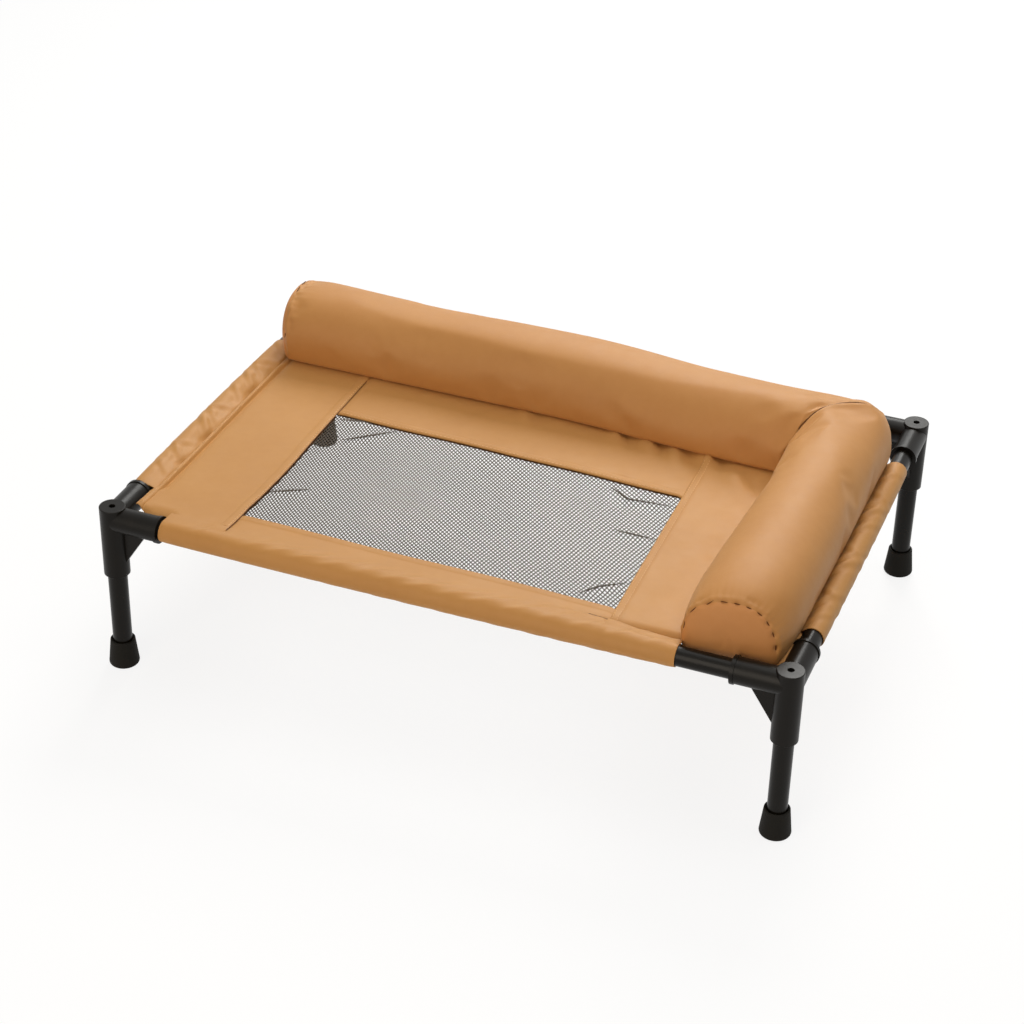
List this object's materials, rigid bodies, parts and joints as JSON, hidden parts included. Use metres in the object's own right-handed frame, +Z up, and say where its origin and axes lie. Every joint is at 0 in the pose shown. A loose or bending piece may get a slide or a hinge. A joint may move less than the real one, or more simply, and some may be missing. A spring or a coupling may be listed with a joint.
{
  "type": "raised dog cot",
  "caption": "Raised rectangular dog cot: push-fit tube frame on legs, a taut fabric sling with a mesh window, and padded bolsters along the back and a side.",
  "frame": {"origin": "on the floor, under the middle of the leg rectangle", "axes": "+X along the long side to the right, +Y to the back, where the long bolster lies, +Z up"},
  "size_m": [0.6998, 0.4918, 0.2415],
  "materials": {
    "powder_coated_steel": "satin",
    "connector_plastic": "satin",
    "foot_rubber": "matte",
    "sling_fabric": "matte",
    "bolster_fabric": "matte",
    "window_mesh": "matte",
    "fibre_filling": "matte"
  },
  "bodies": {
    "cot_frame": {"front_rail": "powder_coated_steel", "front_sleeve": "sling_fabric", "front_panel": "sling_fabric", "right_rail": "powder_coated_steel", "right_sleeve": "sling_fabric", "right_panel": "sling_fabric", "rear_rail": "powder_coated_steel", "rear_sleeve": "sling_fabric", "rear_panel": "sling_fabric", "left_rail": "powder_coated_steel", "left_sleeve": "sling_fabric", "left_panel": "sling_fabric", "front_left_connector": "connector_plastic", "front_right_connector": "connector_plastic", "rear_right_connector": "connector_plastic", "rear_left_connector": "connector_plastic", "mesh_panel": "window_mesh", "rear_bolster_cover": "bolster_fabric", "rear_bolster_cap": "bolster_fabric", "rear_bolster_filling": "fibre_filling", "side_bolster_cover": "bolster_fabric", "side_bolster_cap": "bolster_fabric", "side_bolster_filling": "fibre_filling"},
    "leg_front_left": {"front_left_leg": "powder_coated_steel", "front_left_foot": "foot_rubber"},
    "leg_front_right": {"front_right_leg": "powder_coated_steel", "front_right_foot": "foot_rubber"},
    "leg_rear_right": {"rear_right_leg": "powder_coated_steel", "rear_right_foot": "foot_rubber"},
    "leg_rear_left": {"rear_left_leg": "powder_coated_steel", "rear_left_foot": "foot_rubber"}
  },
  "joints": [
    {"name": "front_left_leg_pull", "type": "slide", "parent": "cot_frame", "child": "leg_front_left", "axis": [0, 0, -1], "range_m": [0, 0.055]},
    {"name": "front_right_leg_pull", "type": "slide", "parent": "cot_frame", "child": "leg_front_right", "axis": [0, 0, -1], "range_m": [0, 0.055]},
    {"name": "rear_right_leg_pull", "type": "slide", "parent": "cot_frame", "child": "leg_rear_right", "axis": [0, 0, -1], "range_m": [0, 0.055]},
    {"name": "rear_left_leg_pull", "type": "slide", "parent": "cot_frame", "child": "leg_rear_left", "axis": [0, 0, -1], "range_m": [0, 0.055]}
  ]
}
